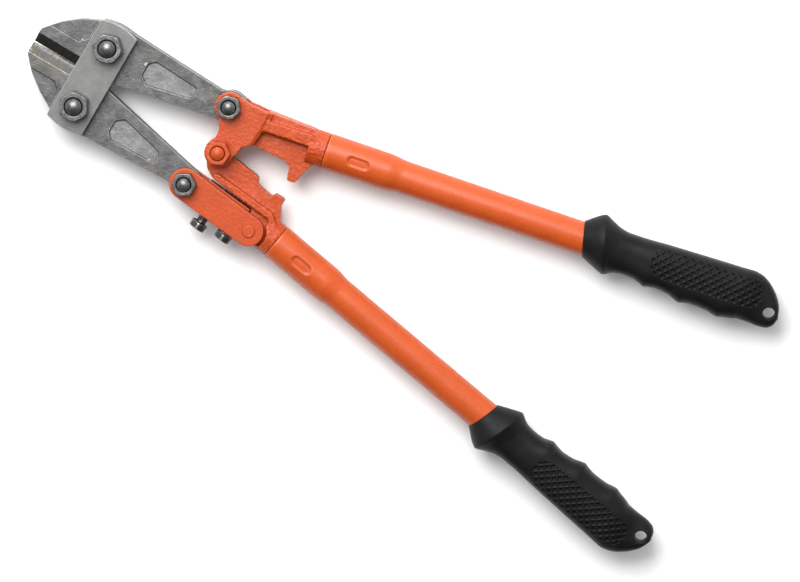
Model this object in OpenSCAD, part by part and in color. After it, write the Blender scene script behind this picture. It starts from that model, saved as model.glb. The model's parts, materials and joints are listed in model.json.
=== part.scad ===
// Hand bolt cutters, 450 mm class, lying flat on a surface with the nuts up.
// Frame: origin under the centre pivot on the surface, +X towards the grips, +Z up.
// Upper parts are on the +Y side of the cutting line, lower parts on the -Y side.

/* [Pivots] */
// Distance of the jaw pivots ahead of the centre pivot
jaw_pivot_x = 87; // [80:0.5:105]
// Distance of each jaw pivot from the cutting line
jaw_pivot_y = 19.8; // [17:0.1:24]
// Distance of the toggle pivots ahead of the centre pivot
toggle_x = 8; // [6:0.5:10]
// Distance of each toggle pivot from the cutting line
toggle_y = 26.5; // [25:0.1:32]
// Distance between the toggle pivot and the rivet of the link
link_span = 46.8; // [44:0.1:58]
// Slope of the link against the cutting line, in degrees
link_slope = 5.9; // [4:0.1:8]

/* [Jaws] */
// Thickness of the forged jaws
jaw_t = 10; // [8:0.5:13]
// Reach of the blades ahead of the jaw pivots
blade_reach = 41; // [34:0.5:50]
// Width of the ground bevel beside the cutting edge
bevel_w = 6.3; // [4:0.1:8]
// Width of the flat land left on the cutting edge
edge_land = 0.5; // [0.2:0.1:1]
// Distance of each jaw's back edge from the cutting line, at the strap
jaw_back = 33.8; // [32:0.1:40]
// Fullness of the upper blade's rounded back
upper_blade_full = 4.5; // [0:0.1:6]
// Fullness of the lower blade's rounded back
lower_blade_full = 1.9; // [0:0.1:6]
// Fullness of the upper jaw's arm along its back edge
upper_arm_full = 1.2; // [-1.5:0.1:2.5]
// Fullness of the lower jaw's arm along its back edge
lower_arm_full = -0.4; // [-1.5:0.1:2.5]
// Depth of the pockets forged into the jaw faces
pocket_depth = 1.6; // [0.5:0.1:2.5]
// Radius of the jaw's eye round the toggle bolt
jaw_eye_r = 9.7; // [9:0.1:12]
// Distance of each cutting edge from the cutting line at the jaw pivots, so that the jaws never bind
heel_gap = 0.1; // [0.1:0.05:0.6]
// Angle of each cutting edge against the cutting line when the jaws are shut
edge_angle = 0.15; // [0.15:0.05:2]

/* [Straps] */
// Width of the strap along the tool
strap_w = 24; // [20:0.5:30]
// Reach of the strap past each jaw pivot
strap_over = 14.9; // [11:0.1:16]
// Thickness of the strap
strap_t = 5; // [3.5:0.5:7]
// Gap between the strap and the jaw face
strap_clear = 0.1; // [0.05:0.05:0.3]

/* [Castings] */
// Thickness of each cheek of the upper casting
cheek_t = 6; // [4.5:0.5:8]
// Gap between a cheek and what it holds
cheek_clear = 0.2; // [0.1:0.05:0.4]
// Radius of the cheek round the toggle bolt
cheek_eye_r = 9; // [8:0.1:10.5]
// Radius of the cheek round the centre bolt
centre_eye_r = 8.8; // [8.5:0.1:10.5]
// Depth of the slot between the cheeks, behind the centre pivot
slot_back = 13; // [11.5:0.5:15]
// Thickness of the webs and of the tongue
web_t = 9.6; // [8:0.2:10]
// Height of the ribs above the mid-plane
rib_h = 8.6; // [7:0.1:10]
// Height of the crest of the upper rib above the mid-plane
crest_h = 10.4; // [9:0.1:11.5]
// Radial room round the centre bolt in the tongue, where the linkage is opened
loop_clear = 2.0; // [1.9:0.1:2.2]
// Height of the stop lugs' tips: upper one above the cutting line
upper_stop_y = 5.6; // [5.4:0.1:7]
// Height of the stop lugs' tips: lower one below the cutting line
lower_stop_y = 4.2; // [4:0.1:6]

/* [Handles] */
// Angle of the upper handle from the cutting line, in degrees
upper_angle = 11.9; // [10:0.1:14]
// Angle of the lower handle from the cutting line, in degrees
lower_angle = 9.5; // [8:0.1:12]
// Distance of the upper handle's axis from the centre pivot
upper_offset = 20.6; // [20:0.1:22]
// Distance of the lower handle's axis from the centre pivot
lower_offset = 19.5; // [19:0.1:21]
// Outer diameter of the handle tube
tube_d = 19.6; // [17:0.1:21]
// Outer diameter of the tube where it is swaged over the casting
swage_d = 21.8; // [21:0.1:24]
// Wall of the tube
tube_wall = 2; // [1.2:0.1:3]
// Distance from the centre pivot to the front end of the tube, along the handle
tube_start = 59.5; // [58:0.5:64]
// Length of the swaged part of the tube
swage_len = 39; // [34:1:45]
// Length of the taper between the swaged part and the plain tube
swage_taper = 8; // [4:0.5:12]
// Distance from the centre pivot to the rear end of the tube, along the handle
tube_end = 306; // [260:1:360]
// Length of the casting's plug inside the tube
plug_len = 33; // [25:1:34]
// Length of the crimp mark that holds the tube on the plug
crimp_len = 13; // [8:0.5:16]
// Width of the crimp mark
crimp_w = 5; // [3:0.5:7]
// Depth of the crimp mark
crimp_depth = 1.1; // [0.5:0.1:1.2]
// Distance from the end of the tube to the crimp mark
crimp_from_end = 14; // [10:0.5:18]

/* [Grips] */
// Distance from the rear end of the tube to the rear end of the grip
grip_tail = 37.5; // [34:0.5:45]
// Length of the grip, collar included
grip_len = 125; // [115:1:140]
// Half thickness of the grip where it is held
grip_half = 13; // [12:0.1:15]
// Half height of the flared collar
collar_half = 16.5; // [15:0.1:16.5]
// Half thickness of the grip's end, where the hang hole is
tail_half = 8.5; // [6:0.1:10]
// Radius of the hang hole
hang_hole_r = 3.7; // [2.5:0.1:4.5]
// Radial room between the tube and the grip's bore
grip_clear = 0.05; // [0.02:0.01:0.1]

/* [Fasteners] */
// Radius of the jaw bolts
jaw_bolt_r = 5; // [4:0.5:6]
// Width across flats of the jaw bolts' heads and nuts
jaw_bolt_af = 16; // [14:0.5:18]
// Height of the jaw bolts' heads
jaw_head_h = 6.4; // [5:0.1:8]
// Height of the jaw bolts' nuts
jaw_nut_h = 8.4; // [6:0.1:9]
// Radius of the toggle and centre bolts
toggle_bolt_r = 4; // [3.2:0.1:4.2]
// Width across flats of the toggle and centre bolts' heads and nuts
toggle_bolt_af = 13; // [11:0.5:15]
// Height of the toggle and centre bolts' heads
toggle_head_h = 5.3; // [4:0.1:6]
// Height of the toggle and centre bolts' nuts
toggle_nut_h = 6.6; // [5:0.1:8]
// How far a bolt's rounded end stands out of its nut
bolt_proud = 2.4; // [1:0.1:4]
// Radial room of a bolt or rivet in a hole that turns on it
pin_clear = 0.05; // [0.02:0.01:0.1]

/* [Link and adjuster] */
// Thickness of each link plate
link_t = 4; // [3:0.5:5]
// Radius of the link plate round the toggle bolt
link_eye_r = 9.3; // [8:0.1:10.5]
// Radius of the link plate round the rivet
link_tail_r = 8.9; // [7.5:0.1:10]
// Radius of the link rivet
rivet_r = 3.5; // [3:0.1:3.7]
// Radius of the rivet's heads
rivet_head_r = 4; // [3.8:0.1:6]
// Height of the rivet's heads
rivet_head_h = 1; // [0.6:0.1:2]
// Radius of the lower casting's ear round the rivet
ear_r = 6.3; // [5.8:0.1:6.5]
// Radius of the adjusting screw
adjust_r = 3.2; // [2.5:0.1:3.5]
// Radius of the lock screw
lock_r = 2.5; // [2:0.1:2.8]
// Width across flats of both screws' heads
screw_af = 10; // [8:0.5:12]
// Height of both screws' heads
screw_head_h = 4.2; // [3:0.1:5]
// Length of the adjusting screw that shows below the block
adjust_show = 4.4; // [3.5:0.1:7]
// Distance of the adjusting screw from the toggle bolt, along the link
adjust_at = 20.6; // [17:0.1:22]
// Distance of the lock screw from the rivet, along the link
lock_before_rivet = 10.4; // [10.2:0.1:11]
// Thickness of the lock screw's washer
washer_t = 1.2; // [0.8:0.1:2]
// Radius of the lock screw's washer
washer_r = 5.2; // [4:0.1:6.5]

/* [Hidden] */
$fn = 72;

// Colours
steel = "darkgray";
bright_steel = "silver";
black_steel = "dimgray";
paint = "orangered";
rubber = "#26262a";

// Levels, measured from the mid-plane
jaw_half = jaw_t / 2;
web_half = web_t / 2;
strap_low = jaw_half + strap_clear;
strap_top = strap_low + strap_t;
cheek_low = jaw_half + cheek_clear;
cheek_top = cheek_low + cheek_t;
link_low = jaw_half + cheek_clear;
link_top = link_low + link_t;
// The tool rests on the jaw bolts' heads, so the mid-plane is this high
mid_z = strap_top + jaw_head_h;

// Pivot places
upper_jaw_pivot = [-jaw_pivot_x, jaw_pivot_y];
lower_jaw_pivot = [-jaw_pivot_x, -jaw_pivot_y];
upper_toggle = [-toggle_x, toggle_y];
lower_toggle = [-toggle_x, -toggle_y];
link_dir = [cos(link_slope), -sin(link_slope)];
link_up = [sin(link_slope), cos(link_slope)];
rivet_at = lower_toggle + link_span * link_dir;
lock_at = link_span - lock_before_rivet;

// Link frame: u along the link from the toggle bolt, v towards the cutting line
function on_link(u, v) = lower_toggle + u * link_dir + v * link_up;

// Rounded outlines ------------------------------------------------------------

function unit(v) = v / norm(v);
function xy(p) = [p[0], p[1]];
function radius_of(p) = len(p) > 2 ? p[2] : 0;

// Points of one corner p with neighbours a and b, rounded to the radius p[2]
function corner(a, p, b, steps = 7) =
  let (
    q = xy(p),
    r = radius_of(p),
    to_a = unit(xy(a) - q),
    to_b = unit(xy(b) - q),
    half = acos(max(-1, min(1, to_a * to_b))) / 2
  )
  r < 0.01 || half > 89.5 ? [q] :
  let (
    reach = r / tan(half),
    centre = q + unit(to_a + to_b) * r / sin(half),
    from = q + reach * to_a - centre,
    to = q + reach * to_b - centre,
    a0 = atan2(from[1], from[0]),
    turn = atan2(from[0] * to[1] - from[1] * to[0], from * to)
  )
  [for (i = [0 : steps]) centre + r * [cos(a0 + turn * i / steps), sin(a0 + turn * i / steps)]];

// Twice the area inside an outline, negative when it runs clockwise
function winding(pts) =
  let (n = len(pts), terms = [for (i = [0 : n - 1]) cross(xy(pts[i]), xy(pts[(i + 1) % n]))])
  terms * [for (t = terms) 1];

function reversed(pts) = [for (i = [len(pts) - 1 : -1 : 0]) pts[i]];
function anticlockwise(pts) = winding(pts) < 0 ? reversed(pts) : pts;

// Closed outline of corners [x, y, radius], always anticlockwise
function rounded(corners, steps = 7) =
  let (pts = anticlockwise(corners), n = len(pts))
  [for (i = [0 : n - 1]) each corner(pts[(i + n - 1) % n], pts[i], pts[(i + 1) % n], steps)];

// Points of an arc about a centre, from one angle to another
function arc(centre, r, from, to, steps = 12) =
  [for (i = [0 : steps]) let (a = from + (to - from) * i / steps) centre + r * [cos(a), sin(a)]];

// Round bar between two eyes of different radii
module eye_bar(p1, r1, p2, r2) {
  d = p2 - p1;
  dir = atan2(d[1], d[0]);
  lean = acos((r1 - r2) / norm(d));
  translate(p1) circle(r1);
  translate(p2) circle(r2);
  polygon([
    p1 + r1 * [cos(dir + lean), sin(dir + lean)],
    p1 + r1 * [cos(dir - lean), sin(dir - lean)],
    p2 + r2 * [cos(dir - lean), sin(dir - lean)],
    p2 + r2 * [cos(dir + lean), sin(dir + lean)]
  ]);
}

// Everything is drawn about the mid-plane and lifted onto the surface
module lift() { translate([0, 0, mid_z]) children(); }

// Same shape on both faces of the tool
module both_faces() {
  children();
  mirror([0, 0, 1]) children();
}

module drill(at, r, half) {
  translate([at[0], at[1], -half]) cylinder(r = r, h = 2 * half);
}

// Slab of an outline between two levels
module slab(low, high) {
  translate([0, 0, low]) linear_extrude(high - low) children();
}

// Fasteners -------------------------------------------------------------------

// Hexagon prism with both rims chamfered, standing on z = 0
module hexagon(af, h) {
  corner_r = af / sqrt(3);
  cut = corner_r - af / 2;
  intersection() {
    cylinder(r = corner_r, h = h, $fn = 6);
    rotate_extrude()
      polygon([
        [0, 0], [corner_r - cut * 0.8, 0], [corner_r, cut * 0.5],
        [corner_r, h - cut * 0.5], [corner_r - cut * 0.8, h], [0, h]
      ]);
  }
}

// Shank whose end is a shallow dome, from z = 0 to z = length
module domed_shank(r, length) {
  dome = 0.45 * r;
  ball = (r * r + dome * dome) / (2 * dome);
  spread = asin(r / ball);
  rotate_extrude()
    polygon(concat(
      [[0, 0], [r, 0]],
      [for (i = [0 : 8]) let (a = spread * (1 - i / 8)) [ball * sin(a), length - ball + ball * cos(a)]]
    ));
}

// Hex bolt: its head below level -low, its rounded end proud of a nut on level high
module bolt(at, r, af, head_h, low, high, nut_h, turn) {
  translate([at[0], at[1], -low - head_h]) {
    rotate(turn) hexagon(af, head_h);
    domed_shank(r, head_h + low + high + nut_h + bolt_proud);
  }
}

// Hex nut that stands on level high, with a bevelled mouth round the bolt's end
module nut(at, r, af, h, high, turn) {
  mouth = 0.7;
  translate([at[0], at[1], high])
    difference() {
      rotate(turn) hexagon(af, h);
      translate([0, 0, -1]) cylinder(r = r + pin_clear, h = h + 2);
      translate([0, 0, h - mouth])
        rotate_extrude()
          polygon([[0, 0], [r + pin_clear, 0], [r + pin_clear + 2 * mouth, 2 * mouth], [0, 2 * mouth]]);
    }
}

// Jaws and straps -------------------------------------------------------------

// Distance of the cutting edge from the cutting line, at x
function edge_y(x) = heel_gap + max(0, -jaw_pivot_x - x) * tan(edge_angle);

nose_x = -jaw_pivot_x - blade_reach;
strap_front_x = -jaw_pivot_x - strap_w / 2;
strap_rear_x = -jaw_pivot_x + strap_w / 2;

// Outline of a jaw whose blade and arm are this much fuller than the plain shape
module jaw_outline(blade, arm) {
  polygon(rounded([
    [nose_x, edge_y(nose_x), 0.4],
    [nose_x + 0.2, 6 + 0.7 * blade, 5],
    [nose_x + 8, 15 + 0.75 * blade, 14],
    [nose_x + 18, 22 + blade, 20],
    [strap_front_x + 3, jaw_back - 2.6 + 0.4 * blade, 16],
    [strap_front_x + 11, jaw_back + 0.4 + 0.2 * blade, 14],
    [strap_rear_x + 1.5, jaw_back - 0.2 + 0.6 * arm, 30],
    [-toggle_x - jaw_eye_r + 0.4, toggle_y + 4.6 + arm, 3],
    each arc(upper_toggle, jaw_eye_r, 135, -78, 24),
    [strap_rear_x + 4, 3.2, 12],
    [-jaw_pivot_x, heel_gap]
  ]));
}

// Front recess behind the blade's flat band
module jaw_front_recess() {
  band = bevel_w + 7.4;
  polygon([
    [nose_x - 1, band], [strap_front_x - 6, band], [strap_front_x - 1.6, band + 4.2],
    [strap_front_x - 1.6, jaw_back + 6], [nose_x - 1, jaw_back + 6]
  ]);
}

// Pocket along the arm
module jaw_arm_pocket() {
  front = strap_rear_x + 12.4;
  rear = -toggle_x - 21.8;
  polygon(rounded([
    [front, jaw_pivot_y - 4, 2], [front + 4.9, jaw_pivot_y - 8, 3],
    [rear, toggle_y - 8, 2.5], [rear, toggle_y - 0.6, 2.5],
    [front + 3.5, jaw_pivot_y + 7.2, 3], [front, jaw_pivot_y + 3.6, 2]
  ]));
}

// Wedge that grinds one face's bevel along the cutting edge
module bevel_cut() {
  length = blade_reach + 6;
  translate([-jaw_pivot_x - 2, heel_gap, 0])
    rotate([0, 0, -edge_angle])
      rotate([90, 0, -90])
        linear_extrude(length)
          polygon([
            [1, jaw_half + 2], [-bevel_w, jaw_half + 2], [-bevel_w, jaw_half],
            [0, edge_land / 2], [1, edge_land / 2]
          ]);
}

module jaw_solid(blade, arm) {
  difference() {
    slab(-jaw_half, jaw_half) jaw_outline(blade, arm);
    both_faces() {
      bevel_cut();
      slab(jaw_half - pocket_depth, jaw_half + 1) jaw_front_recess();
      slab(jaw_half - pocket_depth, jaw_half + 1) jaw_arm_pocket();
    }
    drill(upper_jaw_pivot, jaw_bolt_r + pin_clear, jaw_t);
    drill(upper_toggle, toggle_bolt_r + pin_clear, jaw_t);
  }
}

module upper_jaw() {
  color(steel) lift() jaw_solid(upper_blade_full, upper_arm_full);
}

module lower_jaw() {
  color(steel) lift() mirror([0, 1, 0]) jaw_solid(lower_blade_full, lower_arm_full);
}

module strap_outline() {
  half_w = strap_w / 2;
  reach = jaw_pivot_y + strap_over;
  crown = 2.2;
  difference() {
    polygon(anticlockwise(concat(
      [for (i = [-8 : 8]) [-jaw_pivot_x + half_w * i / 8, reach - crown * pow(i / 8, 2)]],
      [for (i = [8 : -1 : -8]) [-jaw_pivot_x + half_w * i / 8, crown * pow(i / 8, 2) - reach]]
    )));
    for (at = [upper_jaw_pivot, lower_jaw_pivot])
      translate(at) circle(jaw_bolt_r + pin_clear);
  }
}

module front_strap() {
  color(bright_steel) lift() slab(strap_low, strap_top) strap_outline();
}

module rear_strap() {
  color(bright_steel) lift() slab(-strap_top, -strap_low) strap_outline();
}

module jaw_bolt(at, turn) {
  color(steel) lift()
    bolt(at, jaw_bolt_r, jaw_bolt_af, jaw_head_h, strap_top, strap_top, jaw_nut_h, turn);
}

module jaw_nut(at, turn) {
  color(bright_steel) lift() nut(at, jaw_bolt_r, jaw_bolt_af, jaw_nut_h, strap_top, turn);
}

module upper_jaw_bolt() { jaw_bolt(upper_jaw_pivot, 12); }
module upper_jaw_nut() { jaw_nut(upper_jaw_pivot, 17); }
module lower_jaw_bolt() { jaw_bolt(lower_jaw_pivot, 40); }
module lower_jaw_nut() { jaw_nut(lower_jaw_pivot, 0); }

// Handles ---------------------------------------------------------------------

// Handle frame: x along the tube from beside the centre pivot, y outwards
module on_upper_handle() {
  rotate(upper_angle) translate([0, upper_offset, 0]) children();
}

module on_lower_handle() {
  mirror([0, 1, 0]) rotate(lower_angle) translate([0, lower_offset, 0]) children();
}

// Solid of revolution about the handle's axis, from points [distance, radius]
module turned(points) {
  rotate([0, 90, 0]) rotate_extrude() polygon(anticlockwise([for (p = points) [p[1], p[0]]]));
}

swage_r = swage_d / 2;
tube_r = tube_d / 2;
plug_clear = 0.05;
plug_r = swage_r - tube_wall - plug_clear;
swage_end = tube_start + swage_len;
taper_end = swage_end + swage_taper;

// Casting's round shoulder from distance "from" to the tube, and its plug inside
module shoulder(from) {
  turned([
    [from, 0], [from, swage_r], [tube_start, swage_r], [tube_start, plug_r],
    [tube_start + plug_len, plug_r], [tube_start + plug_len, 0]
  ]);
}

module tube_solid() {
  difference() {
    turned([
      [tube_start, swage_r - tube_wall], [tube_start, swage_r], [swage_end, swage_r],
      [taper_end, tube_r], [tube_end, tube_r], [tube_end, tube_r - tube_wall],
      [taper_end, tube_r - tube_wall], [swage_end, swage_r - tube_wall]
    ]);
    both_faces()
      slab(swage_r - crimp_depth, swage_r + 1)
        eye_bar(
          [tube_start + crimp_from_end + crimp_w / 2, 0], crimp_w / 2,
          [tube_start + crimp_from_end + crimp_len - crimp_w / 2, 0], crimp_w / 2
        );
  }
}

module upper_tube() {
  color(paint) lift() on_upper_handle() tube_solid();
}

module lower_tube() {
  color(paint) lift() on_lower_handle() tube_solid();
}

// Grips -----------------------------------------------------------------------

grip_end = tube_end + grip_tail;
grip_start = grip_end - grip_len;
bore_r = tube_r + grip_clear;
hang_hole_back = 6.4;
hang_hole_at = [grip_end - hang_hole_back, -6];

// Outline of the grip seen on the tool's face: outer side on +y, finger side on -y
module grip_outline() {
  finger = 23.6;
  first = grip_start + 31.5;
  polygon(rounded([
    [grip_start, bore_r + 0.4, 1],
    [grip_start + 10.6, 18.6, 3],
    [grip_start + 21.5, 12.2, 10],
    [grip_start + 34, 11.7, 20],
    [grip_end - 20, 15.6, 12],
    [grip_end - 6, 7.5, 20],
    [grip_end + 0.6, -8, 8],
    [grip_end - 2.5, -15, 5],
    [grip_end - 10, -15.6, 12],
    [first + 2.6 * finger, -14.6, 9],
    [first + 2 * finger + 12.4, -18.4, 3],
    [first + finger + 23, -15.8, 14],
    [first + finger + 12.4, -17.4, 3],
    [first + 23, -14, 14],
    [first + 12.4, -15.4, 3],
    [first, -12, 16],
    [grip_start + 18.5, -16.6, 2.5],
    [grip_start + 4.6, -bore_r - 1.2, 1]
  ]));
}

// Outline of the grip seen from the side, which flares at the collar
module grip_side() {
  side = [
    [grip_start - 1, bore_r + 0.8], [grip_start + 10, collar_half], [grip_start + 17, collar_half],
    [grip_start + 26, grip_half - 0.6], [grip_end - 24, grip_half], [grip_end - 14, tail_half],
    [grip_end + 2, tail_half]
  ];
  polygon(anticlockwise(concat(side, [for (p = reversed(side)) [p[0], -p[1]]])));
}

module grip_solid() {
  difference() {
    intersection() {
      slab(-30, 30) grip_outline();
      rotate([90, 0, 0]) slab(-30, 30) grip_side();
    }
    turned([
      [grip_start - 2, 0], [grip_start - 2, bore_r],
      [tube_end + 0.2, bore_r], [tube_end + 0.2, 0]
    ]);
    drill(hang_hole_at, hang_hole_r, collar_half);
  }
}

module upper_grip() {
  color(rubber) lift() on_upper_handle() grip_solid();
}

module lower_grip() {
  color(rubber) lift() on_lower_handle() grip_solid();
}

// Upper casting ---------------------------------------------------------------

// Points of the castings near the tube follow the handle's axis
function on_upper(t, side) =
  [t * cos(upper_angle) - side * sin(upper_angle), t * sin(upper_angle) + side * cos(upper_angle)];
function on_lower(t, side) =
  [t * cos(lower_angle) - side * sin(lower_angle), -t * sin(lower_angle) - side * cos(lower_angle)];

upper_outer = upper_offset + swage_r;
upper_inner = upper_offset - swage_r;
lower_outer = lower_offset + swage_r;
lower_inner = lower_offset - swage_r;
eye_top = toggle_y + cheek_eye_r;
stop_at = 45.4;
// The castings turn round ahead of the tubes here, and their flat parts end inside that shoulder
shoulder_front = tube_start - 10.5;
web_inset = 1.8;
rib_inset = 6;

module cheek_outline() {
  difference() {
    union() {
      translate(upper_toggle) circle(cheek_eye_r);
      circle(centre_eye_r);
      polygon(rounded([
        [-toggle_x, eye_top], [2, eye_top - 1.2, 8], [slot_back + 4, eye_top + 0.6],
        [slot_back + 2.4, toggle_y - 12.6, 1], [slot_back - 2.9, toggle_y - 17, 5],
        [slot_back - 3.3, 4, 2], [centre_eye_r - 2, 0], [-centre_eye_r, 0],
        [-centre_eye_r + 3.2, 10, 10], [-toggle_x - 3, toggle_y - cheek_eye_r + 1]
      ]));
    }
    translate(upper_toggle) circle(toggle_bolt_r + pin_clear);
    circle(toggle_bolt_r + pin_clear);
  }
}

module upper_web_outline() {
  polygon(rounded([
    [slot_back, eye_top - 0.4], on_upper(shoulder_front, upper_outer - 0.3),
    on_upper(tube_start - 4, upper_outer - web_inset),
    on_upper(tube_start - 4, upper_inner + web_inset),
    [stop_at + 4, toggle_y - 10, 4], [stop_at + 2.3, upper_stop_y + 1, 1.2],
    [stop_at - 2.9, upper_stop_y, 0.8], [stop_at - 6.6, toggle_y - 11.4, 4],
    [slot_back + 3, toggle_y - 12.9, 1], [slot_back, toggle_y - 15.2]
  ]));
}

// Rib from the cheeks to the shoulder, with a pocket left below it
module upper_rib_outline() {
  polygon(rounded([
    [slot_back - 0.1, eye_top + 0.5], on_upper(shoulder_front, upper_outer - 0.2),
    on_upper(tube_start - 3, upper_offset + rib_inset),
    on_upper(tube_start - 3, upper_offset - rib_inset),
    [stop_at + 4.9, toggle_y - 5.5, 1], [stop_at + 4.4, toggle_y - 1, 3],
    [stop_at + 1.4, toggle_y + 3.8, 2.5],
    [slot_back + 4.4, toggle_y - 2.6, 3], [slot_back + 0.8, toggle_y - 7, 3],
    [slot_back + 2.6, toggle_y - 12.4, 1], [slot_back - 0.1, toggle_y - 14.6]
  ]));
}

module upper_crest_outline() {
  polygon(rounded([
    [slot_back - 0.1, toggle_y + 4], on_upper(shoulder_front, upper_offset + 7.4),
    on_upper(tube_start - 3, upper_offset + 3), on_upper(tube_start - 3, upper_offset - 1),
    on_upper(shoulder_front, upper_offset),
    [slot_back - 0.1, toggle_y - 2.8]
  ]));
}

module upper_casting() {
  color(paint) lift() {
    both_faces() {
      difference() {
        slab(cheek_low, cheek_top) cheek_outline();
        translate([slot_back + 1.2, 0, cheek_top - 0.8])
          rotate([0, 12, 0]) translate([0, -5, 0]) cube([8, 50, 4]);
      }
      slab(0, rib_h) upper_rib_outline();
      slab(0, crest_h) upper_crest_outline();
    }
    slab(-web_half, web_half) upper_web_outline();
    on_upper_handle() shoulder(shoulder_front);
  }
}

module upper_toggle_bolt() {
  color(steel) lift()
    bolt(upper_toggle, toggle_bolt_r, toggle_bolt_af, toggle_head_h, cheek_top, cheek_top,
      toggle_nut_h, 20);
}

module upper_toggle_nut() {
  color(bright_steel) lift()
    nut(upper_toggle, toggle_bolt_r, toggle_bolt_af, toggle_nut_h, cheek_top, 12);
}

module centre_bolt() {
  color(paint) lift()
    bolt([0, 0], toggle_bolt_r, toggle_bolt_af, toggle_head_h, cheek_top, cheek_top,
      toggle_nut_h, 5);
}

module centre_nut() {
  color(paint) lift()
    nut([0, 0], toggle_bolt_r, toggle_bolt_af, toggle_nut_h, cheek_top, 25);
}

// Lower casting ---------------------------------------------------------------

tongue_r = centre_eye_r - 0.3;
// Under edge of the lower web, as a height v in the link frame
web_under_v = 11.4;
// Left edge of the web beside the adjuster block, as a distance u in the link frame
ear_edge_u = link_span - ear_r;

module lower_web_outline() {
  difference() {
    union() {
      circle(tongue_r);
      translate(rivet_at) circle(ear_r);
      polygon(rounded([
        [-tongue_r + 0.2, -1.6], [-1.8, -12.4, 6], concat(on_link(11, web_under_v + 0.6), 2),
        concat(on_link(ear_edge_u, web_under_v), 1), concat(on_link(ear_edge_u, 0), 0),
        concat(on_link(link_span, -ear_r), 0), on_lower(shoulder_front + 1, lower_outer - web_inset),
        on_lower(tube_start - 4, lower_outer - web_inset),
        on_lower(tube_start - 4, lower_inner + web_inset),
        [stop_at + 5, -14.2, 4], [stop_at + 2.2, -9.4, 5], [stop_at + 2.4, -lower_stop_y, 1.5],
        [stop_at - 4.6, -lower_stop_y, 0.8], [stop_at - 6, -lower_stop_y - 2.6, 0.5],
        [stop_at - 16.2, -lower_stop_y - 0.4, 0.8], [stop_at - 18, -0.9, 0.8],
        [slot_back - 1.7, 1.2], [tongue_r - 1.6, 2]
      ]));
    }
    circle(toggle_bolt_r + loop_clear);
    translate(rivet_at) circle(rivet_r + pin_clear);
  }
}

module lower_rib_outline() {
  polygon(rounded([
    [3, -11, 1.9], on_lower(shoulder_front - 2, lower_inner - 1.6),
    on_lower(tube_start - 3, lower_offset - rib_inset), on_lower(tube_start - 3, lower_offset),
    concat(on_link(link_span + 5, web_under_v + 1), 2),
    concat(on_link(11.5, web_under_v + 0.8), 1.9)
  ]));
}

// Room for the link plate's tail beside the ear, down to just inside the web
module link_tail_room() {
  translate([rivet_at[0], rivet_at[1], web_half - 0.3])
    cylinder(r = link_tail_r + 1.7, h = swage_r);
}

module lower_casting() {
  color(paint) lift() {
    difference() {
      union() {
        slab(-rib_h, rib_h) lower_rib_outline();
        on_lower_handle() shoulder(shoulder_front);
      }
      link_tail_room();
      mirror([0, 0, 1]) link_tail_room();
    }
    slab(-web_half, web_half) lower_web_outline();
  }
}

// Link and adjuster -----------------------------------------------------------

module link_plate_outline() {
  difference() {
    eye_bar(lower_toggle, link_eye_r, rivet_at, link_tail_r);
    translate(lower_toggle) circle(toggle_bolt_r + pin_clear);
    translate(rivet_at) circle(rivet_r + pin_clear);
  }
}

module front_link_plate() {
  color(paint) lift() slab(link_low, link_top) link_plate_outline();
}

module rear_link_plate() {
  color(paint) lift() slab(-link_top, -link_low) link_plate_outline();
}

module link_rivet() {
  head_top = link_top + rivet_head_h;
  color(paint) lift()
    translate([rivet_at[0], rivet_at[1], 0])
      rotate_extrude()
        polygon([
          [0, -head_top], [rivet_head_r - 0.6, -head_top], [rivet_head_r, -link_top - 0.3],
          [rivet_head_r, -link_top], [rivet_r, -link_top], [rivet_r, link_top],
          [rivet_head_r, link_top], [rivet_head_r, link_top + 0.3],
          [rivet_head_r - 0.6, head_top], [0, head_top]
        ]);
}

// Link frame as a place: x along the link, y towards the cutting line
module on_link_frame() {
  translate([lower_toggle[0], lower_toggle[1], 0]) rotate(-link_slope) children();
}

// Solid of revolution whose axis points down the link frame's y, from the height v
module hung(u, v) {
  translate([u, v, 0]) rotate([90, 0, 0]) children();
}

block_low = -link_eye_r - 0.3;
block_high = web_under_v - 1;
block_left = jaw_eye_r + 0.6;
block_right = ear_edge_u - 0.3;
screw_tip_v = web_under_v - 0.9;

module adjuster_block() {
  color(paint) lift() on_link_frame()
    difference() {
      slab(-jaw_half, jaw_half)
        polygon(rounded([
          [block_left, block_low, 1], [block_right, block_low, 1],
          [block_right, block_high, 1], [block_left, block_high, 1]
        ]));
      hung(adjust_at, block_high + 1)
        cylinder(r = adjust_r + pin_clear, h = block_high - block_low + 2);
      hung(lock_at, block_high + 1)
        cylinder(r = lock_r + pin_clear, h = block_high - block_low + 2);
    }
}

// Screw whose tip is at height v and whose head starts "head_from" below it
module screw(u, v, r, head_from) {
  on_link_frame() hung(u, v) {
    rotate_extrude()
      polygon([[0, 0], [r - 0.7, 0], [r, 0.7], [r, head_from + 0.1], [0, head_from + 0.1]]);
    translate([0, 0, head_from]) rotate(30) hexagon(screw_af, screw_head_h);
  }
}

module adjusting_screw() {
  color(black_steel) lift()
    screw(adjust_at, screw_tip_v, adjust_r, screw_tip_v - block_low + adjust_show);
}

module lock_screw() {
  color(black_steel) lift()
    screw(lock_at, block_high - 0.4, lock_r, block_high - 0.4 - block_low + washer_t);
}

module lock_washer() {
  color(bright_steel) lift() on_link_frame() hung(lock_at, block_low)
    difference() {
      cylinder(r = washer_r, h = washer_t);
      translate([0, 0, -1]) cylinder(r = lock_r + pin_clear, h = washer_t + 2);
    }
}

module lower_toggle_bolt() {
  color(steel) lift()
    bolt(lower_toggle, toggle_bolt_r, toggle_bolt_af, toggle_head_h, link_top, link_top,
      toggle_nut_h, 8);
}

module lower_toggle_nut() {
  color(bright_steel) lift()
    nut(lower_toggle, toggle_bolt_r, toggle_bolt_af, toggle_nut_h, link_top, 30);
}

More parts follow.
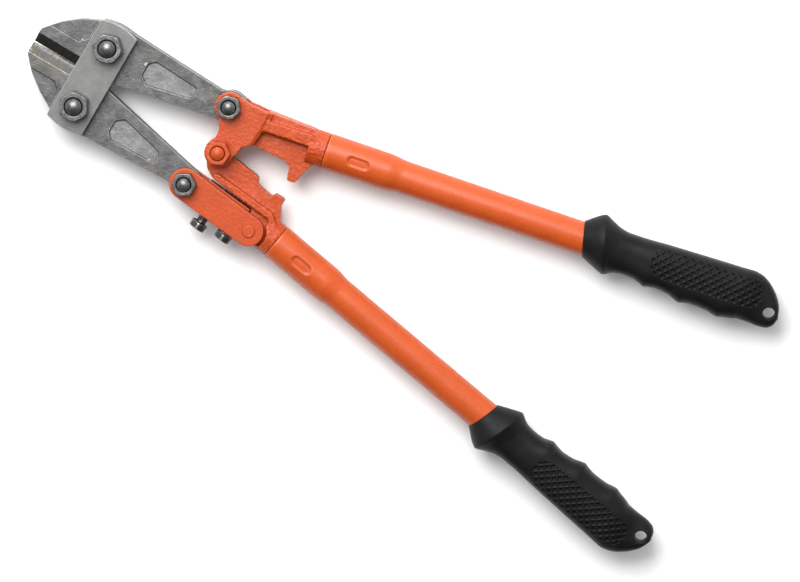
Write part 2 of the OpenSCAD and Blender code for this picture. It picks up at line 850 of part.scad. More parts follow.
upper_jaw();
lower_jaw();
front_strap();
rear_strap();
upper_jaw_bolt();
upper_jaw_nut();
lower_jaw_bolt();
lower_jaw_nut();
upper_casting();
upper_tube();
upper_grip();
upper_toggle_bolt();
upper_toggle_nut();
centre_bolt();
centre_nut();
front_link_plate();
rear_link_plate();
link_rivet();
adjuster_block();
lower_toggle_bolt();
lower_toggle_nut();
adjusting_screw();
lock_screw();
lock_washer();
lower_casting();
lower_tube();
lower_grip();
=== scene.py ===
"""Looks of the hand bolt cutters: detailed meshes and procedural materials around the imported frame."""

import json
import math

import bmesh
import bpy
import numpy as np
from mathutils import Matrix, Vector, noise

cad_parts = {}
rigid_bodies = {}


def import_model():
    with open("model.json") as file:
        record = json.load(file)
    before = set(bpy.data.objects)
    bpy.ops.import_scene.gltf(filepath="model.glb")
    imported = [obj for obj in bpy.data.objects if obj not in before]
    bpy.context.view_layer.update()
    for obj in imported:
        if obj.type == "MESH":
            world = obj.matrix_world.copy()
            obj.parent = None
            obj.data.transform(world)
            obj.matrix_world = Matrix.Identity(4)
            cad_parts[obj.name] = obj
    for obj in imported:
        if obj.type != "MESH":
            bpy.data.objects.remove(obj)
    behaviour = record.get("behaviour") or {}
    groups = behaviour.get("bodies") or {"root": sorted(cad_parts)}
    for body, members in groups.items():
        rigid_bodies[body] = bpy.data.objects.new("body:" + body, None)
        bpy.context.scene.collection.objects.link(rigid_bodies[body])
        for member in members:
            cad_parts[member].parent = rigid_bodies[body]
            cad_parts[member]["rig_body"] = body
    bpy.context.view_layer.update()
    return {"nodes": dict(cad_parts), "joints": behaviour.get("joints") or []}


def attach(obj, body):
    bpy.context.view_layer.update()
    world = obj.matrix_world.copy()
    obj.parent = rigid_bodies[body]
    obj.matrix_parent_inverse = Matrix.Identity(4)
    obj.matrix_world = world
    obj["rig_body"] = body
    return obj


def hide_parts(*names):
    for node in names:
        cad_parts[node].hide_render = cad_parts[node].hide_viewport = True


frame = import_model()
nodes = frame["nodes"]

MM = 0.001
UP = np.array([0, 0, 1.0])

# Camera: a long lens almost straight above the tool, turned so that the tool lies aslant
CAMERA_DISTANCE = 3.0
CAMERA_TILT = 7.0  # degrees off the vertical
CAMERA_TILT_TOWARDS = 89.0  # degrees, the side it stands on, from +X
CAMERA_ROLL = 30.5  # degrees between the picture's level and the cutting line
CAMERA_TARGET = Vector((0.1335, -0.0169, 0.0165))
FIELD_WIDTH = 0.4733  # metres across the picture at the target
SENSOR = 36.0

# Light: one big soft key, and a room that is pale on the far side and dim on the near one
KEY_DISTANCE = 1.4
KEY_SIZE = 1.0
KEY_POWER = 27
ROOM_DIM, ROOM_PALE = 0.04, 1.4
ROOM_SPAN = 0.9  # how far towards each side the room keeps changing

FLOOR_HALF = 3.0
FLOOR_DROP = 0.0001


# Materials -------------------------------------------------------------------


class Shader:
    """Builds one material's nodes with short calls."""

    def __init__(self, name):
        self.material = bpy.data.materials.new(name)
        self.material.use_nodes = True
        self.tree = self.material.node_tree
        self.surface = self.tree.nodes["Principled BSDF"]
        self.place = self.node("ShaderNodeTexCoord").outputs["Object"]
        self.bumps = []

    def node(self, kind, **settings):
        made = self.tree.nodes.new(kind)
        for key, value in settings.items():
            setattr(made, key, value)
        return made

    def link(self, output, socket):
        self.tree.links.new(output, socket)

    def set(self, **values):
        """Plain values on the surface's own sockets."""
        for key, value in values.items():
            self.surface.inputs[key.replace("_", " ")].default_value = value

    def noise(self, size, detail=4.0, rough=0.5, stretch=(1, 1, 1)):
        """Noise from 0 to 1 whose lumps are about size metres across."""
        scale = self.node("ShaderNodeMapping")
        scale.inputs["Scale"].default_value = stretch
        self.link(self.place, scale.inputs["Vector"])
        made = self.node("ShaderNodeTexNoise")
        made.inputs["Scale"].default_value = 1 / size
        made.inputs["Detail"].default_value = detail
        made.inputs["Roughness"].default_value = rough
        self.link(scale.outputs["Vector"], made.inputs["Vector"])
        return made.outputs["Fac"]

    def cells(self, size):
        """Distance from the nearest of many points about size metres apart."""
        made = self.node("ShaderNodeTexVoronoi", feature="F1")
        made.inputs["Scale"].default_value = 1 / size
        self.link(self.place, made.inputs["Vector"])
        return made.outputs["Distance"]

    def by_edge(self, start, full, most=1.0):
        """From 0 to most between two sharpnesses: above 0.5 is an outer edge, below it a corner."""
        sharpness = self.node("ShaderNodeNewGeometry").outputs["Pointiness"]
        return self.remap(sharpness, start, full, 0, most)

    def painted_crevice_shade(self, reach, start, most):
        """Painted shade: from 0 in the open to most in crevices narrower than the reach, from ambient
        occlusion.
        """
        made = self.node("ShaderNodeAmbientOcclusion", samples=8)
        made.inputs["Distance"].default_value = reach
        return self.remap(made.outputs["AO"], start, start - 0.5, 0, most)

    def remap(self, value, low, high, to_low=0.0, to_high=1.0):
        made = self.node("ShaderNodeMapRange", clamp=True)
        for key, number in zip(("From Min", "From Max", "To Min", "To Max"), (low, high, to_low, to_high)):
            made.inputs[key].default_value = number
        self.link(value, made.inputs["Value"])
        return made.outputs["Result"]

    def product(self, a, b):
        made = self.node("ShaderNodeMath", operation="MULTIPLY")
        self.link(a, made.inputs[0])
        self.link(b, made.inputs[1])
        return made.outputs[0]

    def mix(self, factor, a, b):
        """Mixes two colours, each a colour or an output."""
        made = self.node("ShaderNodeMix", data_type="RGBA")
        self.link(factor, made.inputs[0])
        for socket, value in ((made.inputs[6], a), (made.inputs[7], b)):
            if isinstance(value, tuple):
                socket.default_value = (*value, 1)
            else:
                self.link(value, socket)
        return made.outputs[2]

    def colour(self, output):
        self.link(output, self.surface.inputs["Base Color"])

    def roughness(self, output):
        self.link(output, self.surface.inputs["Roughness"])

    def bump(self, height, distance, strength):
        """Adds relief of about distance metres on top of what was added before."""
        made = self.node("ShaderNodeBump")
        made.inputs["Strength"].default_value = strength
        made.inputs["Distance"].default_value = distance
        self.link(height, made.inputs["Height"])
        if self.bumps:
            self.link(self.bumps[-1], made.inputs["Normal"])
        self.bumps.append(made.outputs["Normal"])
        self.link(made.outputs["Normal"], self.surface.inputs["Normal"])


def grey(level):
    return (level, level, level)


# The second colour of each pair is a lighter orange painted on outer edges as a highlight
CAST_ORANGE, CAST_EDGE_HIGHLIGHT = (0.41, 0.050, 0.004), (0.56, 0.15, 0.055)
TUBE_ORANGE, TUBE_EDGE_HIGHLIGHT = (0.46, 0.068, 0.008), (0.56, 0.17, 0.07)
# Painted shade for the orange paint's corners and crevices
PAINT_SHADE = (0.12, 0.009, 0.002)

FORGED_BASE, FORGED_SPOT = (0.074, 0.074, 0.077), (0.150, 0.150, 0.152)
# Lighter copy of the forged steel for the jaws' flat pocket floors: a painted highlight
POCKET_HIGHLIGHT_BASE, POCKET_HIGHLIGHT_SPOT = (0.150, 0.150, 0.154), (0.260, 0.260, 0.262)
STRAP_BASE, STRAP_SPOT = (0.150, 0.150, 0.148), (0.190, 0.190, 0.185)
STEEL_STAIN = (0.17, 0.145, 0.085)
# Painted highlight on the steel's outer edges
STEEL_EDGE_HIGHLIGHT = (0.46, 0.46, 0.455)
# Painted shade for the steel's corners and crevices
STEEL_SHADE = grey(0.012)

GROUND_DARK, GROUND_PALE = grey(0.13), (0.21, 0.21, 0.205)
GROUND_STRAW = (0.22, 0.20, 0.12)
# Painted highlight on the bevels' edges
GROUND_EDGE_HIGHLIGHT = (0.50, 0.49, 0.46)

ZINC_PALE, ZINC_DARK = (0.17, 0.17, 0.168), grey(0.075)
# Painted highlight on the zinc's edges
ZINC_EDGE_HIGHLIGHT = (0.30, 0.30, 0.295)
# Painted shade for the zinc's corners and crevices
ZINC_CORNER_SHADE, ZINC_CREVICE_SHADE = grey(0.008), grey(0.01)

OXIDE_PALE, OXIDE_DARK = grey(0.075), grey(0.035)
# Painted highlight on the screws' edges
OXIDE_EDGE_HIGHLIGHT = (0.55, 0.55, 0.53)
# Painted shade for the screws' crevices
OXIDE_CREVICE_SHADE = grey(0.008)

RUBBER_DARK, RUBBER_PALE = (0.0035, 0.0035, 0.0042), (0.0065, 0.0065, 0.0076)
# Painted highlight on the rubber's ridges and edges
RUBBER_EDGE_HIGHLIGHT = (0.024, 0.024, 0.027)
# Painted shade for the rubber's pits, corners and crevices
RUBBER_CORNER_SHADE, RUBBER_CREVICE_SHADE = grey(0.002), grey(0.0015)

FLOOR_DARK, FLOOR_PALE = grey(0.88), grey(0.91)


def paint(name, tone, edge_highlight, lump, relief, gloss):
    """Stoved orange paint over a surface with lumps of a size and relief, with painted highlights on outer
    edges and painted shade in corners and crevices.
    """
    s = Shader(name)
    deep = (0.78 * tone[0], 0.62 * tone[1], 0.55 * tone[2])
    pale = tuple(1.09 * c for c in tone)
    colour = s.mix(s.remap(s.noise(14 * MM, 3), 0.35, 0.65), tone, pale)
    colour = s.mix(s.remap(s.noise(1.3 * MM, 6, 0.65), 0.45, 0.70, 0, 0.7), colour, deep)
    colour = s.mix(s.remap(s.cells(3.6 * MM), 0.02, 0.10, 0.6, 0), colour, deep)
    patchy = s.remap(s.noise(2.5 * MM, 5, 0.7), 0.3, 0.6, 0.3, 0.9)
    # Painted highlight: lighter orange in patches on outer edges
    colour = s.mix(s.product(s.by_edge(0.515, 0.60), patchy), colour, edge_highlight)
    # Painted shade: darker in concave corners, then in crevices by ambient occlusion
    colour = s.mix(s.by_edge(0.49, 0.42, 0.6), colour, PAINT_SHADE)
    s.colour(s.mix(s.painted_crevice_shade(2.2 * MM, 0.75, 0.85), colour, PAINT_SHADE))
    s.roughness(s.remap(s.noise(5 * MM, 4), 0.3, 0.7, gloss - 0.06, gloss + 0.1))
    s.set(Coat_Weight=0.12, Coat_Roughness=0.3, Specular_IOR_Level=0.35)
    s.bump(s.noise(lump, 5, 0.6), relief, 0.8)
    s.bump(s.noise(0.9 * MM, 3, 0.6), 0.06 * MM, 0.5)
    return s.material


def forged_steel(name, base, spot, relief):
    """Blasted forged steel: mottled, with painted highlights on its edges and painted shade in its corners
    and crevices.
    """
    s = Shader(name)
    tone = s.mix(s.remap(s.noise(7 * MM, 6, 0.62), 0.36, 0.66), base, spot)
    pores = s.remap(s.noise(0.7 * MM, 4, 0.7), 0.42, 0.72, 0, 0.6)
    tone = s.mix(pores, tone, tuple(0.55 * c for c in base))
    tone = s.mix(s.remap(s.noise(20 * MM, 2), 0.56, 0.70, 0, 0.3), tone, STEEL_STAIN)
    patchy = s.remap(s.noise(4 * MM, 5, 0.7), 0.3, 0.6, 0.4, 1)
    # Painted highlight: lighter in patches on outer edges
    tone = s.mix(s.product(s.by_edge(0.51, 0.56), patchy), tone, STEEL_EDGE_HIGHLIGHT)
    # Painted shade: darker in concave corners, then in crevices by ambient occlusion
    tone = s.mix(s.by_edge(0.49, 0.44, 0.9), tone, STEEL_SHADE)
    s.colour(s.mix(s.painted_crevice_shade(2.4 * MM, 0.75, 0.85), tone, STEEL_SHADE))
    s.set(Metallic=0.45)
    s.roughness(s.remap(s.noise(3 * MM, 4), 0.3, 0.7, 0.40, 0.58))
    s.bump(s.noise(1.2 * MM, 5, 0.6), relief, 0.7)
    s.bump(s.noise(0.5 * MM, 3, 0.6), 0.3 * relief, 0.6)
    return s.material


def ground_steel(name):
    """Ground bevels: fine lines across the edge, and a faint straw tint."""
    s = Shader(name)
    lines = s.noise(0.3 * MM, 4, 0.6, stretch=(1, 0.04, 0.04))
    tone = s.mix(s.remap(lines, 0.35, 0.65), GROUND_DARK, GROUND_PALE)
    tone = s.mix(s.remap(s.noise(9 * MM, 2), 0.45, 0.65, 0, 0.45), tone, GROUND_STRAW)
    # Painted highlight: lighter on the bevels' outer edges
    s.colour(s.mix(s.by_edge(0.52, 0.60, 0.8), tone, GROUND_EDGE_HIGHLIGHT))
    s.set(Metallic=1.0)
    s.roughness(s.remap(lines, 0.3, 0.7, 0.15, 0.24))
    s.bump(lines, 0.015 * MM, 0.5)
    return s.material


def plated_steel(name):
    """Dull zinc on nuts, bolts and the washer, with painted shade in the recesses and painted highlights on
    the edges.
    """
    s = Shader(name)
    tone = s.mix(s.remap(s.noise(1.6 * MM, 5, 0.6), 0.35, 0.7), ZINC_PALE, ZINC_DARK)
    # Painted highlight: lighter on outer edges and chamfers
    tone = s.mix(s.by_edge(0.53, 0.64, 0.6), tone, ZINC_EDGE_HIGHLIGHT)
    # Painted shade: darker in concave corners, then in crevices by ambient occlusion
    tone = s.mix(s.by_edge(0.48, 0.40, 0.95), tone, ZINC_CORNER_SHADE)
    s.colour(s.mix(s.painted_crevice_shade(1.6 * MM, 0.8, 0.9), tone, ZINC_CREVICE_SHADE))
    s.set(Metallic=0.9)
    s.roughness(s.remap(s.noise(0.8 * MM, 4), 0.3, 0.7, 0.26, 0.42))
    s.bump(s.noise(0.7 * MM, 4, 0.6), 0.05 * MM, 0.5)
    return s.material


def black_steel(name):
    """Black oxide on the adjusting screws, with painted highlights on their edges and painted shade in their
    crevices.
    """
    s = Shader(name)
    tone = s.mix(s.remap(s.noise(1.5 * MM, 5, 0.6), 0.4, 0.7), OXIDE_PALE, OXIDE_DARK)
    # Painted highlight: lighter on outer edges and thread crests
    tone = s.mix(s.by_edge(0.515, 0.58, 0.9), tone, OXIDE_EDGE_HIGHLIGHT)
    # Painted shade: darker in crevices by ambient occlusion
    s.colour(s.mix(s.painted_crevice_shade(1.2 * MM, 0.8, 0.9), tone, OXIDE_CREVICE_SHADE))
    s.set(Metallic=0.85)
    s.roughness(s.remap(s.noise(1 * MM, 4), 0.3, 0.7, 0.25, 0.40))
    s.bump(s.noise(0.6 * MM, 4, 0.6), 0.04 * MM, 0.5)
    return s.material


def rubber(name):
    """Moulded black rubber with a fine spark-eroded grain."""
    s = Shader(name)
    tone = s.mix(s.remap(s.noise(8 * MM, 4), 0.35, 0.68), RUBBER_DARK, RUBBER_PALE)
    # Painted highlight: lighter on ridge crests and outer edges
    tone = s.mix(s.by_edge(0.52, 0.60, 0.7), tone, RUBBER_EDGE_HIGHLIGHT)
    # Painted shade: darker in pits and concave corners, then in crevices by ambient occlusion
    tone = s.mix(s.by_edge(0.48, 0.40, 0.9), tone, RUBBER_CORNER_SHADE)
    s.colour(s.mix(s.painted_crevice_shade(2.0 * MM, 0.8, 0.9), tone, RUBBER_CREVICE_SHADE))
    s.roughness(s.remap(s.noise(2 * MM, 4), 0.3, 0.7, 0.40, 0.55))
    s.set(Specular_IOR_Level=0.15)
    s.bump(s.noise(0.45 * MM, 3, 0.6), 0.05 * MM, 0.55)
    return s.material


def floor_paint(name):
    """Matt pale paint, almost even."""
    s = Shader(name)
    s.colour(s.mix(s.remap(s.noise(0.4, 3), 0.3, 0.7), FLOOR_DARK, FLOOR_PALE))
    s.roughness(s.remap(s.noise(0.05, 4), 0.3, 0.7, 0.75, 0.9))
    return s.material


MATERIALS = {
    "cast_paint": paint("cast_paint", CAST_ORANGE, CAST_EDGE_HIGHLIGHT, 2.0 * MM, 0.8 * MM, 0.40),
    "plate_paint": paint("plate_paint", CAST_ORANGE, CAST_EDGE_HIGHLIGHT, 2.2 * MM, 0.35 * MM, 0.42),
    "tube_paint": paint("tube_paint", TUBE_ORANGE, TUBE_EDGE_HIGHLIGHT, 1.6 * MM, 0.05 * MM, 0.38),
    "forged": forged_steel("forged", FORGED_BASE, FORGED_SPOT, 0.5 * MM),
    "strap": forged_steel("strap", STRAP_BASE, STRAP_SPOT, 0.12 * MM),
    # the forged steel made lighter for the pocket floors, a painted highlight
    "pocket": forged_steel("pocket", POCKET_HIGHLIGHT_BASE, POCKET_HIGHLIGHT_SPOT, 0.5 * MM),
    "ground": ground_steel("ground"),
    "plated": plated_steel("plated"),
    "black": black_steel("black"),
    "rubber": rubber("rubber"),
}


# Mesh helpers ----------------------------------------------------------------


def put(name, data):
    """A new object in the scene."""
    made = bpy.data.objects.new(name, data)
    bpy.context.scene.collection.objects.link(made)
    return made


def add_object(name, mesh, material, slot, body, *replaced):
    piece = put(name, mesh)
    if not mesh.materials:
        mesh.materials.append(MATERIALS[material])
    for polygon in mesh.polygons:
        polygon.use_smooth = True
    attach(piece, body)
    if replaced:
        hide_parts(*replaced)
    return piece


def evaluated(piece):
    """A new mesh with the piece's modifiers applied."""
    graph = bpy.context.evaluated_depsgraph_get()
    graph.update()
    return bpy.data.meshes.new_from_object(piece.evaluated_get(graph))


def softened(node, voxel, passes, keep, turn=0.0):
    """The CAD node's shape as one dense mesh whose edges are rounded like a cast or forged piece.

    keep is the share of the faces that stay. turn is an angle about Z between the voxels and the
    piece, so that its long edges don't come out stepped.
    """
    work = put("work", nodes[node].data.copy())
    work.data.transform(Matrix.Rotation(turn, 4, "Z"))
    remesh = work.modifiers.new("remesh", "REMESH")
    remesh.mode = "VOXEL"
    remesh.voxel_size = voxel
    smooth = work.modifiers.new("smooth", "SMOOTH")
    smooth.factor = 0.5
    smooth.iterations = passes
    thin = work.modifiers.new("thin", "DECIMATE")
    thin.ratio = keep
    mesh = evaluated(work)
    mesh.transform(Matrix.Rotation(-turn, 4, "Z"))
    mesh.name = node + "_mesh"
    mesh.materials.clear()
    bpy.data.objects.remove(work)
    return mesh


def roughened(mesh, lump, relief):
    """Sinks a cast or forged surface by up to the relief, in lumps of a size."""
    count = len(mesh.vertices)
    co, normal = np.empty(3 * count), np.empty(3 * count)
    mesh.vertices.foreach_get("co", co)
    mesh.vertices.foreach_get("normal", normal)
    co, normal = co.reshape(-1, 3), normal.reshape(-1, 3)
    lumps = [noise.noise(Vector(p) / lump) + 0.5 * noise.noise(Vector(p) / (0.45 * lump)) for p in co]
    depth = relief * np.clip(0.5 + 0.5 * np.array(lumps), 0, 1)
    mesh.vertices.foreach_set("co", (co - normal * depth[:, None]).ravel())
    mesh.update()
    return mesh


def grid_mesh(name, rings, capped=True):
    """A closed skin through rings, an array of (rings, points, 3); each ring closes on itself."""
    count, around = rings.shape[:2]
    a = np.arange(count - 1)[:, None] * around + np.arange(around)[None, :]
    b = np.arange(count - 1)[:, None] * around + (np.arange(around)[None, :] + 1) % around
    faces = np.stack([a, a + around, b + around, b], -1).reshape(-1, 4).tolist()
    if capped:
        faces.append(list(range(around)))
        faces.append(list(range((count - 1) * around, count * around))[::-1])
    mesh = bpy.data.meshes.new(name)
    mesh.from_pydata(rings.reshape(-1, 3).tolist(), [], faces)
    mesh.validate()
    face_outwards(mesh)
    return mesh


def face_outwards(mesh, weld=None):
    """Turns every face outwards, after joining points that are closer than weld."""
    work = bmesh.new()
    work.from_mesh(mesh)
    if weld:
        bmesh.ops.remove_doubles(work, verts=work.verts, dist=weld)
    bmesh.ops.recalc_face_normals(work, faces=work.faces)
    work.to_mesh(mesh)
    work.free()


def turned(profile, around):
    """Rows of (distance, a, b) points round an axis, from a profile of (distance, radius)."""
    angle = np.linspace(0, 2 * np.pi, around, endpoint=False)
    profile = np.array(profile, float)
    x = np.repeat(profile[:, :1], around, 1)
    r = np.repeat(profile[:, 1:], around, 1)
    return np.stack([x, r * np.cos(angle), r * np.sin(angle)], -1)


def smooth_curve(points, at):
    """Value at each place of a smooth curve through (place, value) points, with no overshoot."""
    x, y = np.array(points, float).T
    h, d = np.diff(x), np.diff(y) / np.diff(x)
    slope = np.zeros(len(x))
    for i in range(1, len(x) - 1):
        if d[i - 1] * d[i] > 0:
            w1, w2 = 2 * h[i] + h[i - 1], h[i] + 2 * h[i - 1]
            slope[i] = (w1 + w2) / (w1 / d[i - 1] + w2 / d[i])
    slope[0], slope[-1] = d[0], d[-1]
    at = np.clip(np.asarray(at, float), x[0], x[-1])
    k = np.clip(np.searchsorted(x, at, side="right") - 1, 0, len(x) - 2)
    t = (at - x[k]) / h[k]
    return (
        (1 + 2 * t) * (1 - t) ** 2 * y[k]
        + t * (1 - t) ** 2 * h[k] * slope[k]
        + t * t * (3 - 2 * t) * y[k + 1]
        + t * t * (t - 1) * h[k] * slope[k + 1]
    )


def smooth_step(value, low, high):
    t = np.clip((np.asarray(value, float) - low) / (high - low), 0, 1)
    return t * t * (3 - 2 * t)


def in_stadium(x, y, start, end, half_w):
    """Distance from the middle line of a round-ended slot that runs along x."""
    half = (end - start) / 2 - half_w
    return np.hypot(np.maximum(abs(x - (start + end) / 2) - half, 0), y)


# Tubes -----------------------------------------------------------------------


class Handle:
    """A handle's own frame, measured on its CAD tube: x along the tube from its front end, y outwards."""

    def __init__(self, side):
        self.side = side
        co = np.unique(np.round([v.co for v in nodes[side + "_tube"].data.vertices], 7), axis=0)
        centre = co.mean(0)
        axis = np.linalg.svd(co - centre, full_matrices=False)[2][0]
        axis *= np.sign(axis[0])
        for _ in range(3):
            along = (co - centre) @ axis
            front, back = (co[abs(along - end) < 1e-5].mean(0) for end in (along.min(), along.max()))
            axis = (back - front) / np.linalg.norm(back - front)
        self.front, self.axis = front, axis
        self.length = float(np.linalg.norm(back - front))
        out = np.cross(UP, axis)
        self.out = out if side == "upper" else -out

    def world(self, points):
        """Points of the handle's frame in the row frame."""
        points = np.asarray(points, float)
        return self.front + points[..., :1] * self.axis + points[..., 1:2] * self.out + points[..., 2:] * UP

    def reach(self, node):
        """Least and greatest distance of a node along the handle."""
        along = (np.array([v.co for v in nodes[node].data.vertices]) - self.front) @ self.axis
        return float(along.min()), float(along.max())


TUBE_R = 9.8 * MM
SWAGE_R = 10.9 * MM
TUBE_WALL = 2 * MM
TUBE_LIP = 0.5 * MM
SWAGE_END = 39 * MM
TAPER_END = 47 * MM
TUBE_AROUND = 144
CRIMP_START, CRIMP_END = 14 * MM, 27 * MM  # from the tube's front end
CRIMP_HALF_W = 2.5 * MM
CRIMP_DEPTH = 1.05 * MM


def tube_outside(end):
    """(distance, radius) along the tube's outside, from its lip to its far end."""
    taper = np.linspace(SWAGE_END - 1 * MM, TAPER_END + 2 * MM, 14)
    taper_r = SWAGE_R + (TUBE_R - SWAGE_R) * smooth_step(taper, SWAGE_END - 1 * MM, TAPER_END + 1 * MM)
    return [
        (0, SWAGE_R - TUBE_LIP), (0.35 * TUBE_LIP, SWAGE_R - 0.3 * TUBE_LIP), (TUBE_LIP, SWAGE_R),
        *((x, SWAGE_R) for x in np.arange(2 * MM, SWAGE_END - 2 * MM, 0.5 * MM)),
        *zip(taper, taper_r),
        *((x, TUBE_R) for x in np.linspace(TAPER_END + 8 * MM, end - TUBE_LIP, 24)),
        (end, TUBE_R - TUBE_LIP),
    ]


def tube_inside(end):
    return [
        (end, TUBE_R - TUBE_WALL), (TAPER_END, TUBE_R - TUBE_WALL),
        (SWAGE_END, SWAGE_R - TUBE_WALL), (0, SWAGE_R - TUBE_WALL),
    ]


def tube_mesh(handle):
    """The swaged tube with its crimp marks pressed in on both faces."""
    outside = tube_outside(handle.length)
    points = turned(outside + tube_inside(handle.length), TUBE_AROUND)
    x, y, z = np.moveaxis(points, -1, 0)
    from_mark = in_stadium(x, y, CRIMP_START, CRIMP_END, CRIMP_HALF_W)
    pressed = smooth_step(-from_mark, -CRIMP_HALF_W - 0.9 * MM, -CRIMP_HALF_W + 0.7 * MM)
    pressed[len(outside):] = 0
    z = z - np.sign(z) * CRIMP_DEPTH * pressed
    rings = handle.world(np.stack([x, y, z], -1))
    mesh = grid_mesh(handle.side + "_tube_mesh", np.concatenate([rings, rings[:1]]), capped=False)
    face_outwards(mesh, weld=1e-6)
    return mesh


# Grips -----------------------------------------------------------------------

# Grip outline in millimetres from the grip's front end: outer side, finger side and half thickness
GRIP_OUTER = [
    (1.4, 10.4), (13.6, 17.75), (14.3, 17.95), (15.1, 17.7), (19, 15.3), (23, 13.0), (27.5, 12.0),
    (33, 12.0), (50, 12.8), (75, 13.7), (97, 14.4), (103.5, 14.7), (108, 13.9), (112, 12.0),
    (117, 8.0), (121.5, 2.6), (124, -2.6), (125, -8),
]
GRIP_FINGERS = [
    (1.4, 10.3), (7, 13.2), (13.7, 16.2), (14.4, 16.4), (15.3, 16.1), (19, 14.4), (24, 13.0),
    (31, 12.4), (36.5, 12.7), (41, 14.2), (43.6, 15.1), (46, 14.6), (51.5, 13.9), (59, 14.9), (63.5, 16.6),
    (66.3, 17.4), (69, 16.7), (74.5, 16.0), (83, 16.5), (87.5, 17.6), (90, 18.0), (93, 17.3), (98.5, 16.2),
    (102.5, 15.2), (107.5, 15.2), (114.5, 15.6), (119.5, 15.0), (123.2, 12.4), (125, 8),
]
GRIP_HALF = [
    (1.4, 10.3), (5, 12.1), (13.6, 16.1), (14.3, 16.3), (15.2, 16.0), (18, 14.4), (23, 12.6), (30, 12.0),
    (45, 12.7), (70, 13.0), (97, 12.9), (105, 11.2), (111, 8.9), (114, 8.45), (122, 8.3), (125, 7.4),
]
GRIP_START, GRIP_END = 1.4, 125
GRIP_ROUND = 2  # length of the rounding at the grip's far end
GRIP_AROUND = 264
GRIP_SQUARE = 2.7  # power of the section where the hand holds it; 2 is an ellipse
COLLAR_RIM = (12, 17)
COLLAR_LEAN = 13.5  # degrees between the collar and a square cut
PATCH = (43.5, 111.5)  # diamond pattern's ends, from the grip's front end
PATCH_HALF_W = 8.4
PATCH_MIDDLE = 1.9  # towards the outer side
PATCH_FACE = (0.50, 0.68)  # share of the half thickness where the pattern starts and is full
DIAMOND = 4.95
PIT_DEPTH = 0.9
HANG_HOLE_BACK = 6.4
HANG_HOLE_Y = -6.0
HANG_HOLE_R = 3.7
HANG_HOLE_RIM = 0.7
HANG_HOLE_TOP = 8.5
BORE_CLEAR = 0.06


def grip_stations():
    """Places along the grip, in millimetres, closer together where the pattern is and at the end."""
    return np.concatenate([
        np.linspace(GRIP_START, COLLAR_RIM[0], 14, endpoint=False),
        np.linspace(*COLLAR_RIM, 14, endpoint=False),
        np.linspace(COLLAR_RIM[1], PATCH[0] - 1, 28, endpoint=False),
        np.arange(PATCH[0] - 1, PATCH[1] + 1, 0.33),
        np.linspace(PATCH[1] + 1, GRIP_END - GRIP_ROUND, 18, endpoint=False),
        GRIP_END - GRIP_ROUND * (1 - np.sin(np.linspace(0, np.pi / 2, 10))),
    ])


def diamond_pits(x, y):
    """How deep each point of the patch lies, from 0 on the ridges to 1 in the pits."""
    u, v = (x + y) / DIAMOND, (x - y) / DIAMOND
    to_line = np.minimum(abs(u - np.round(u)), abs(v - np.round(v))) * DIAMOND / math.sqrt(2)
    pit = smooth_step(to_line, 0.28, 0.95)
    from_middle = in_stadium(x, y - PATCH_MIDDLE, *PATCH, PATCH_HALF_W)
    return pit * smooth_step(-from_middle, -PATCH_HALF_W - 0.25, -PATCH_HALF_W + 0.35)


def superellipse(angle, half_y, half_z, power):
    c, s = np.cos(angle), np.sin(angle)
    y = half_y * np.sign(c) * abs(c) ** (2 / power)
    return y, half_z * np.sign(s) * abs(s) ** (2 / power)


def even_angles(count, half_y, half_z, power):
    """Angles that place points evenly round a squarish section."""
    angle = np.linspace(0, 2 * np.pi, 4001)
    y, z = superellipse(angle, half_y, half_z, power)
    run = np.concatenate([[0], np.cumsum(np.hypot(np.diff(y), np.diff(z)))])
    return np.interp(np.linspace(0, run[-1], count, endpoint=False), run, angle)


def grip_points(start):
    """Rows of points along the grip in its handle's frame."""
    at = grip_stations()
    outer = smooth_curve(GRIP_OUTER, at)
    fingers = -smooth_curve(GRIP_FINGERS, at)
    past_round = ((at - GRIP_END + GRIP_ROUND) / GRIP_ROUND).clip(0, 1)
    round_end = np.sqrt(np.clip(1 - past_round ** 2, 0.02, 1))
    middle, half_y = (outer + fingers) / 2, (outer - fingers) / 2 * round_end
    half_z = smooth_curve(GRIP_HALF, at) * (0.45 + 0.55 * round_end)
    # A squarish section where the hand holds it, and a round one at the mouth
    power = 2 + (GRIP_SQUARE - 2) * smooth_step(at, 14, 30)[:, None]
    angle = even_angles(GRIP_AROUND, 14, 13, GRIP_SQUARE)[None, :]
    y, z = superellipse(angle, half_y[:, None], half_z[:, None], power)
    y = y + middle[:, None]
    x = np.repeat(at[:, None], angle.size, 1)
    face = smooth_step(abs(z) / half_z[:, None], *PATCH_FACE)
    z = z - np.sign(z) * PIT_DEPTH * diamond_pits(x, y) * face
    lean = 1 - smooth_step(at, 16, 32)[:, None]
    x = x - lean * y * math.tan(math.radians(COLLAR_LEAN))
    return np.stack([start + x * MM, y * MM, z * MM], -1)


def grip(handle):
    """The moulded grip with its bore and its hang hole cut through."""
    side = handle.side
    start, end = handle.reach(side + "_grip")
    work = put("work", grid_mesh(side + "_grip_mesh", handle.world(grip_points(end - GRIP_END * MM))))
    cutters = [hole_cutter(handle, end), bore_cutter(handle, start)]
    for cutter in cutters:
        cut = work.modifiers.new("cut", "BOOLEAN")
        cut.operation = "DIFFERENCE"
        cut.solver = "EXACT"
        cut.object = cutter
    final = evaluated(work)
    final.materials.clear()
    for extra in (work, *cutters):
        bpy.data.objects.remove(extra)
    return add_object("grip_" + side, final, "rubber", "black_rubber", side + "_handle", side + "_grip")


